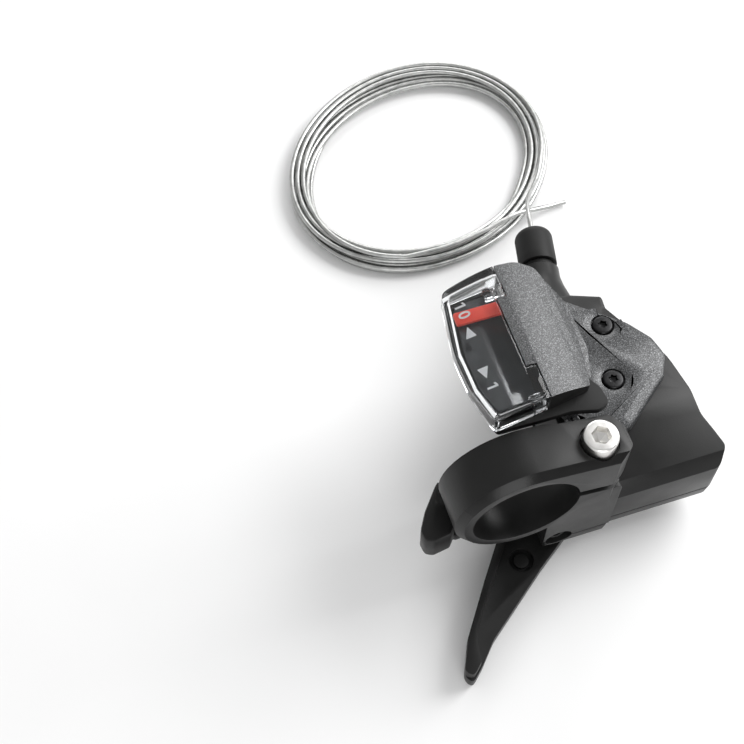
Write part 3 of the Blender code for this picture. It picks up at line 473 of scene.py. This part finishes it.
def wander(layer, angle):
    """How far a layer strays from the middle of the coil, in millimetres."""
    return (0.75 * math.sin(angle + 2.1 * layer) + 0.45 * math.sin(2 * angle + 1.3 * layer)
            + 0.2 * math.sin(3 * angle + 4 * layer))


def coil_points():
    points = []
    span = LAST_ANGLE - FIRST_ANGLE
    count = int(span / math.tau * STEPS_PER_TURN)
    for step in range(1, count):
        angle = FIRST_ANGLE + span * step / count
        turn = (angle - FIRST_ANGLE) / math.tau
        index = int(turn)
        here, after = PLACES[index], PLACES[min(index + 1, len(PLACES) - 1)]
        part = ease((turn - index - 0.8) / 0.2)
        column = here[0] + (after[0] - here[0]) * part
        layer = here[1] + (after[1] - here[1]) * part
        arriving = ease(turn / 0.2)
        leaving = ease((turn - span / math.tau + 0.35) / 0.35)
        column = column * arriving + 0.5 * (1 - arriving)
        stray = wander(layer, angle) * arriving * (1 - leaving) + column * COLUMN * (1 - leaving)
        height = LOWEST + (layer - 1) * LAYER
        height += (CROSSING - height) * (1 - arriving) + (CROSSING - height) * leaving
        x = (COIL_LONG + stray) * math.cos(angle)
        y = (COIL_SHORT + stray) * math.sin(angle)
        points.append((COIL_CENTRE[0] + x * math.cos(COIL_TURN) - y * math.sin(COIL_TURN),
                       COIL_CENTRE[1] + x * math.sin(COIL_TURN) + y * math.cos(COIL_TURN),
                       height))
    return points


def smooth_line(knots, spacing):
    """Points at an even spacing along a smooth curve through the knots."""
    knots = [2 * knots[0] - knots[1], *knots, 2 * knots[-1] - knots[-2]]
    dense = []
    for a, b, c, d in zip(knots, knots[1:], knots[2:], knots[3:]):
        pieces = max(2, int((c - b).length / spacing * 2))
        for step in range(pieces):
            t = step / pieces
            dense.append(0.5 * (2 * b + (c - a) * t + (2 * a - 5 * b + 4 * c - d) * t ** 2
                                + (3 * b - a - 3 * c + d) * t ** 3))
    dense.append(knots[-2])
    line, travelled = [dense[0]], 0.0
    for start, end in zip(dense, dense[1:]):
        length = (end - start).length
        while travelled + length >= spacing:
            part = (spacing - travelled) / length
            start = start.lerp(end, part)
            line.append(start)
            length = (end - start).length
            travelled = 0.0
        travelled += length
    return line


route = [at(*point) for point in LEAD[:-1] + coil_points() + TAIL[1:]]
SPACING = 0.8 * MM
centre_line = smooth_line(route, SPACING)

# %% [markdown]
# A Bevel on a curve would give a plain wire. The cable is stranded, so its section is a ring of
# nine strands, and every section is turned a little further than the last. One turn takes 11 mm.

# %% The stranded cable
CABLE_RADIUS = 0.6 * MM
STRANDS, LAY_LENGTH = 9, 11 * MM
GROOVE = 0.92                     # reach of a groove between strands, as part of the radius


def stranded(name, line):
    """A tube of strands along the line, closed at both ends."""
    corners, faces = [], []
    sides = 2 * STRANDS
    along = (line[1] - line[0]).normalized()
    across = along.orthogonal().normalized()
    travelled = 0.0
    for index, point in enumerate(line):
        before, after = line[max(0, index - 1)], line[min(len(line) - 1, index + 1)]
        heading = (after - before).normalized()
        across = (along.rotation_difference(heading) @ across).normalized()
        across = (across - heading * across.dot(heading)).normalized()
        along = heading
        other = heading.cross(across)
        travelled += (point - before).length
        for side in range(sides):
            angle = math.tau * (side / sides + travelled / LAY_LENGTH)
            reach = CABLE_RADIUS * (1.0 if side % 2 else GROOVE)
            corners.append(point + (across * math.cos(angle) + other * math.sin(angle)) * reach)
    for ring in range(len(line) - 1):
        for side in range(sides):
            a, b = ring * sides + side, ring * sides + (side + 1) % sides
            faces.append((a, b, b + sides, a + sides))
    last = (len(line) - 1) * sides
    faces.append(tuple(range(sides))[::-1])
    faces.append(tuple(range(last, last + sides)))
    mesh = bpy.data.meshes.new(name)
    mesh.from_pydata(corners, [], faces)
    mesh.update()
    made = bpy.data.objects.new(name, mesh)
    bpy.context.scene.collection.objects.link(made)
    return made


cable = stranded("inner_cable", centre_line)
CABLE_NODES = ("cable_lead", "cable_coil", "cable_tail")
deliver(cable, "inner_cable", WIRE, "housing", CABLE_NODES, 50)

# %% [markdown]
# ## Housing and base cover
# These two mouldings meet at a parting line all round. Their imported shapes are right, but a
# moulding never has a razor edge. A copy of each is softened by a small Bevel, and so are copies
# of the clamp and the two levers. The broad chamfers along the front get a smoother gloss of their
# own, and a darker colour that is painted shade.

# %% Soften the two halves
SOFTENED = [("upper_housing", "upper_housing_skin", 0.35, "housing"),
            ("base_cover", "base_cover_skin", 0.25, "housing"),
            ("clamp_bracket", "clamp_bracket_skin", 0.3, "housing"),
            ("release_lever", "release_lever_skin", 0.3, "release_lever"),
            ("thumb_lever", "thumb_lever_skin", 0.3, "thumb_lever")]
CHAMFERED = ("upper_housing", "clamp_bracket")


def on_chamfer(face):
    slopes = -0.9 < face.normal.y < -0.35 and face.normal.z > 0.35
    return slopes and face.area > MM * MM


for node, name, width, body in SOFTENED:
    piece = copy_of(node, name)
    soften(piece, width * MM, 3)
    deliver(piece, name, BLACK, body, (node,))
    if node in CHAMFERED:
        # The chamfers facing front and up take the darker copy: painted shade, with a smoother
        # gloss.
        piece.data.materials.append(POLISHED_WITH_PAINTED_SHADE)
        for face in piece.data.polygons:
            if on_chamfer(face):
                face.material_index = 1

# %% [markdown]
# ## The painted cover plate
# A broad border slopes down all round the plate. The top face is inset and raised by a
# fraction of a millimetre, which leaves that border.

# %% Cover plate
plate = copy_of("cover_plate", "cover_plate_skin")
plate_top = at(0, 0, 27.8).z
BORDER_WIDTH, BORDER_FALL = 1.6 * MM, 0.35 * MM
pick_faces(plate, lambda middle, normal: normal.z > 0.99
           and abs(middle.z - plate_top) < 0.05 * MM)
bpy.ops.mesh.inset(thickness=BORDER_WIDTH)
bpy.ops.transform.translate(value=(0, 0, BORDER_FALL))
leave()
soften(plate, 0.2 * MM, 2)
deliver(plate, "cover_plate_skin", GREY, "housing", ("cover_plate",))

# %% [markdown]
# ## The clamp bolt
# An M4 socket-head bolt starts as a cylinder. Its upper rim is bevelled, its underside is inset
# and extruded into the shank, and a six-sided cutter with a pointed end sinks the socket.

# %% Clamp bolt
HEAD_RADIUS, HEAD_HEIGHT, SHANK_RADIUS = 3.5 * MM, 4.0 * MM, 2.0 * MM
bolt = cylinder(HEAD_RADIUS, BOLT_HIGH.z - HEAD_HEIGHT, BOLT_HIGH.z, BOLT.x, BOLT.y, 72)
pick_top(bolt)
bpy.ops.mesh.bevel(offset=0.55 * MM, segments=5, affect="EDGES")
leave()
pick_bottom(bolt)
bpy.ops.mesh.inset(thickness=HEAD_RADIUS - SHANK_RADIUS)
extrude(z=BOLT_LOW.z - BOLT_HIGH.z + HEAD_HEIGHT)
bpy.ops.mesh.bevel(offset=0.4 * MM, segments=2, affect="EDGES")
leave()
SOCKET_RADIUS, SOCKET_DEPTH, SPARE = 2.0 * MM, 2.1 * MM, 1 * MM
socket = cylinder(SOCKET_RADIUS, BOLT_HIGH.z - SOCKET_DEPTH, BOLT_HIGH.z + SPARE,
                  BOLT.x, BOLT.y, 6)
pick_bottom(socket)
extrude(z=-0.8 * MM)
bpy.ops.transform.resize(value=(0.1, 0.1, 1))
leave()
cut(bolt, socket)
deliver(bolt, "clamp_bolt_turned", ZINC, "housing", ("clamp_bolt",), 25)

# %% [markdown]
# ## The cover screws
# Both screws are the same, so one function models each of them. The star of the socket
# is a twelve-sided cylinder with every second corner drawn in.


# %% Star screws
def star_screw(node, name):
    low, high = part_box(node)
    x, y = (low.x + high.x) / 2, (low.y + high.y) / 2
    radius, height = (high.x - low.x) / 2, 1.2 * MM
    made = cylinder(radius, high.z - height, high.z, x, y)
    pick_top(made)
    bpy.ops.mesh.bevel(offset=0.5 * MM, segments=4, affect="EDGES")
    leave()
    pick_bottom(made)
    bpy.ops.mesh.inset(thickness=radius - 1.1 * MM)
    extrude(z=low.z - high.z + height)
    leave()
    star = cylinder(1.15 * MM, high.z - 0.85 * MM, high.z + 1 * MM, x, y, 12)
    middle = Vector((x, y))
    edit(star, "VERT")
    leave()
    for index, corner in enumerate(star.data.vertices):
        angle = math.atan2(*(corner.co.xy - middle).yx)
        corner.select = round(angle / math.tau * 12 + 12) % 2 == 0
    bpy.ops.object.mode_set(mode="EDIT")
    bpy.ops.transform.resize(value=(0.66, 0.66, 1))
    leave()
    soften(star, 0.12 * MM, 2)
    cut(made, star)
    deliver(made, name, DARK_STEEL, "housing", (node,), 30)


for number in (1, 2):
    star_screw(f"cover_screw_{number}", f"cover_star_screw_{number}")

# %% [markdown]
# ## The barrel adjuster
# The barrel is a cap with a round top that the fingers turn. It is modelled upright at the
# origin: a cylinder is bevelled at the top, its mouth is inset and sunk for the cable's casing,
# and its lower face is drawn down and hollowed. Then it is laid on the cable's line.

# %% Barrel adjuster
CAP_HEIGHT, CAP_RADIUS = 10.0 * MM, 4.4 * MM
EXIT_ANGLE = math.radians(13)
CABLE_DIRECTION = Vector((math.sin(EXIT_ANGLE), math.cos(EXIT_ANGLE), 0))
CAP_BASE = centre_line[0] - CABLE_DIRECTION * CAP_HEIGHT

cap = cylinder(CAP_RADIUS, 3.2 * MM, CAP_HEIGHT, corners=64)
pick_top(cap)
bpy.ops.mesh.bevel(offset=2.2 * MM, segments=9, affect="EDGES")
leave()
pick_top(cap, 0.99)
bpy.ops.mesh.inset(thickness=0.4 * MM)
extrude(z=-3.2 * MM)
leave()
pick_bottom(cap)
bpy.ops.mesh.inset(thickness=0)  # a ring of no width, where the skirt begins
extrude(z=-0.5 * MM)
extrude(z=-2.2 * MM)
leave()
pick_bottom(cap)
bpy.ops.mesh.inset(thickness=1.05 * MM)
extrude(z=CAP_HEIGHT - 4.4 * MM)
leave()
cut(cap, cylinder(1.0 * MM, 2 * MM, 9 * MM, corners=24))
soften(cap, 0.15 * MM, 2)


def lay_on_cable(piece):
    """Lays an upright piece down, its top towards the cable's exit."""
    piece.rotation_euler = (math.radians(-90), 0, -EXIT_ANGLE)
    piece.location = CAP_BASE
    settle(piece)


lay_on_cable(cap)
deliver(cap, "barrel_cap", MATT_BLACK, "barrel", ("barrel_adjuster",), 28)

# A dust ring sits on the neck's end and closes the gap below the cap.
ring = cylinder(3.6 * MM, -0.75 * MM, 0.5 * MM, corners=48)
pick_top(ring)
bpy.ops.mesh.bevel(offset=0.25 * MM, segments=3, affect="EDGES")
leave()
cut(ring, cylinder(3.35 * MM, -2 * MM, 2 * MM, corners=48))
lay_on_cable(ring)
deliver(ring, "barrel_dust_ring", MATT_BLACK, "housing")

# %% [markdown]
# ## The indicator
# The indicator stands on a black tray. A painted shell covers its right half and a clear lens
# its left half, and both have a crowned top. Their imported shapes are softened.

# %% Tray, shell and lens
tray = copy_of("indicator_base", "indicator_tray")
soften(tray, 0.25 * MM, 3)
deliver(tray, "indicator_tray", MATT_BLACK, "housing", ("indicator_base",))
shell = copy_of("indicator_shell", "indicator_shell_painted")
shell_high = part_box("indicator_shell")[1]
pick_edges(shell, lambda a, b: min(a.x, b.x) > shell_high.x - 1.2 * MM
           and min(a.z, b.z) > shell_high.z - 4.5 * MM
           and abs(a.z - b.z) < 0.3 * MM)
bpy.ops.mesh.bevel(offset=0.8 * MM, segments=2, affect="EDGES")
leave()
soften(shell, 0.3 * MM, 3)
deliver(shell, "indicator_shell_painted", GREY, "housing", ("indicator_shell",))
shell.data.materials.append(BLACK)
for face in shell.data.polygons:
    if face.normal.y < -0.6:
        face.material_index = 1
lens = copy_of("indicator_lens", "indicator_lens_clear")
soften(lens, 0.35 * MM, 4)
deliver(lens, "indicator_lens_clear", CLEAR, "housing", ("indicator_lens",))

# %% [markdown]
# The scale is flat under the marks and slopes down on its right. A bisect makes the crease
# between the two, the right edge is lowered, and the crease gets a wide bevel.

# %% Scale and needle
scale = copy_of("indicator_scale", "indicator_scale_panel")
scale_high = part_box("indicator_scale")[1]
SCALE_CREASE = at(1.6, 0, 0).x
edit(scale)
bpy.ops.mesh.select_all(action="SELECT")
bpy.ops.mesh.bisect(plane_co=(SCALE_CREASE, 0, 0), plane_no=(1, 0, 0))
leave()
pick_edges(scale, lambda a, b: min(a.x, b.x) > scale_high.x - 0.05 * MM
           and min(a.z, b.z) > scale_high.z - 0.05 * MM)
bpy.ops.transform.translate(value=(0, 0, -1.2 * MM))
leave()
pick_edges(scale, lambda a, b: max(abs(a.x - SCALE_CREASE), abs(b.x - SCALE_CREASE)) < 0.02 * MM
           and min(a.z, b.z) > scale_high.z - 0.05 * MM)
bpy.ops.mesh.bevel(offset=1.1 * MM, segments=8, affect="EDGES")
leave()
deliver(scale, "indicator_scale_panel", SCALE, "housing", ("indicator_scale",))
needle = copy_of("indicator_needle", "indicator_needle_red")
soften(needle, 0.2 * MM, 3)
deliver(needle, "indicator_needle_red", RED, "needle", ("indicator_needle",))

# %% [markdown]
# ## Marks on the scale
# The first and the last gear are numbers, and two arrows between them show the way the needle
# goes. They are printed inside the lens, so they are made flat, laid down, and lifted to just
# under its crowned roof. The 0 is text made a mesh, and each 1 is a bar with a flag.

# %% Print the marks
LENS_LEFT, LENS_RIGHT = -6.4, 20.6
LENS_RIM, LENS_FALL, LENS_RISE, LENS_WALL = 47.4, 2.6, 4.1, 1.0


def under_lens(x):
    """Height of the lens's inner side, in millimetres."""
    part = (x - LENS_LEFT) / (LENS_RIGHT - LENS_LEFT)
    crown = LENS_RISE * math.sin(math.pi * part) ** 0.8
    return LENS_RIM - LENS_FALL * part + crown - LENS_WALL - 0.12


def print_mark(made, name, x, y):
    """Lays a flat mark under the lens, its top towards +X."""
    made.name = name
    made.rotation_euler = (0, 0, math.radians(-90))
    made.location = at(x, y, 0)
    settle(made)
    for corner in made.data.vertices:
        corner.co.z += under_lens((corner.co.x - CLAMP.x) / MM) * MM
    deliver(made, name, PRINT, "housing")


PRINT_THICKNESS = 0.06 * MM


def print_one(name, x, y, height=2.1 * MM, wide=0.42 * MM):
    """The figure 1: an upright bar, with a flag drawn out of the top of its left side."""
    bpy.ops.mesh.primitive_plane_add(size=1)
    figure = bpy.context.object
    figure.scale = (wide, height, 1)
    settle(figure)
    edit(figure)
    bpy.ops.mesh.select_all(action="SELECT")
    bpy.ops.mesh.bisect(plane_co=(0, height / 2 - wide, 0), plane_no=(0, 1, 0))
    leave()
    pick_edges(figure, lambda a, b: max(a.x, b.x) < 0 and min(a.y, b.y) > height / 2 - 1.1 * wide)
    extrude(x=-0.55 * MM, y=-0.3 * MM)
    bpy.ops.mesh.select_all(action="SELECT")
    extrude(z=PRINT_THICKNESS)
    bpy.ops.mesh.select_all(action="SELECT")
    bpy.ops.mesh.normals_make_consistent(inside=False)
    leave()
    print_mark(figure, name, x, y)


bpy.ops.object.text_add()
nought = bpy.context.object
nought.data.body = "0"
nought.data.size = 3.2 * MM
nought.data.align_x = nought.data.align_y = "CENTER"
nought.data.extrude = PRINT_THICKNESS / 2
nought.data.offset = 0.05 * MM
choose(nought)
bpy.ops.object.convert(target="MESH")
print_mark(bpy.context.object, "mark_10_nought", -0.9, 36.6)
print_one("mark_10_one", -0.9, 38.6)
print_one("mark_1", -1.1, 19.7)
for name, turn, x, y in (("mark_up", 90, -1.2, 32.2), ("mark_down", -90, -1.5, 23.5)):
    bpy.ops.mesh.primitive_cylinder_add(vertices=3, radius=1.45 * MM, depth=PRINT_THICKNESS)
    arrow = bpy.context.object
    arrow.rotation_euler = (0, 0, math.radians(turn))
    settle(arrow)
    arrow.scale = (1.15, 0.85, 1)
    settle(arrow)
    pick_edges(arrow, lambda a, b: abs(a.z - b.z) > 0.01 * MM)
    bpy.ops.mesh.bevel(offset=0.12 * MM, segments=2, affect="EDGES")
    leave()
    print_mark(arrow, name, x, y)

# %% [markdown]
# ## Clips of the lens
# Small clear blocks at both ends of the lens hold it to the shell. Each is a block with a
# hollow in its top. Both stand past the ends of the needle's way.


# %% Lens clips
CLIP_FOOT, CLIP_TOP = 44.9, 46.6


def clip(name, x, y, wide, deep):
    made = box(at(x - wide / 2, y - deep / 2, CLIP_FOOT), at(x + wide / 2, y + deep / 2, CLIP_TOP))
    pick_top(made)
    bpy.ops.mesh.inset(thickness=0.45 * MM)
    extrude(z=-0.9 * MM)
    leave()
    soften(made, 0.12 * MM, 2)
    deliver(made, name, CLEAR, "housing")


clip("lens_clip_top", 6.2, 41.2, 2.4, 2.2)
clip("lens_clip_bottom", 6.4, 15.4, 2.6, 2.4)

# %% [markdown]
# ## The table
# The shifter lies on a pale table. It is a plane a hair below the model, with a faint change of
# tone. It isn't part of the shifter.

# %% Table
floor_paint = Finish("pale_table", (0.9, 0.9, 0.9), 0.55)
floor_paint.colour(floor_paint.ramp(floor_paint.noise(60 * MM, 2), (0.3, 0.86), (0.7, 0.9)))
bpy.ops.mesh.primitive_plane_add(size=4, location=(0, 0, -0.0003))
table = bpy.context.object
table.name = "table_top"
table.data.materials.append(floor_paint.material)

# %% [markdown]
# ## The light
# One big soft light on the right gives broad highlights and a soft shadow to the left. Two weaker
# ones, behind and in front, lift the dark faces, and an even white sky fills the rest.


# %% Lights
def softbox(name, place, size, power, target=(0, 0.01, 0.02)):
    bpy.ops.object.light_add(type="AREA", location=place)
    made = bpy.context.object
    made.name = name
    made.data.size = size
    made.data.energy = power
    made.rotation_euler = (Vector(target) - Vector(place)).to_track_quat("-Z", "Y").to_euler()


softbox("key_softbox", (0.45, 0.12, 0.40), 0.4, 3.4)
softbox("back_softbox", (0.2, 0.6, 0.3), 0.4, 1.6)
softbox("front_softbox", (-0.1, -0.6, 0.25), 0.4, 1.6)
world = bpy.data.worlds.new("studio")
world.use_nodes = True
world.node_tree.nodes["Background"].inputs["Color"].default_value = (1, 1, 1, 1)
world.node_tree.nodes["Background"].inputs["Strength"].default_value = 0.55
bpy.context.scene.world = world
bpy.context.scene.view_settings.view_transform = "Standard"
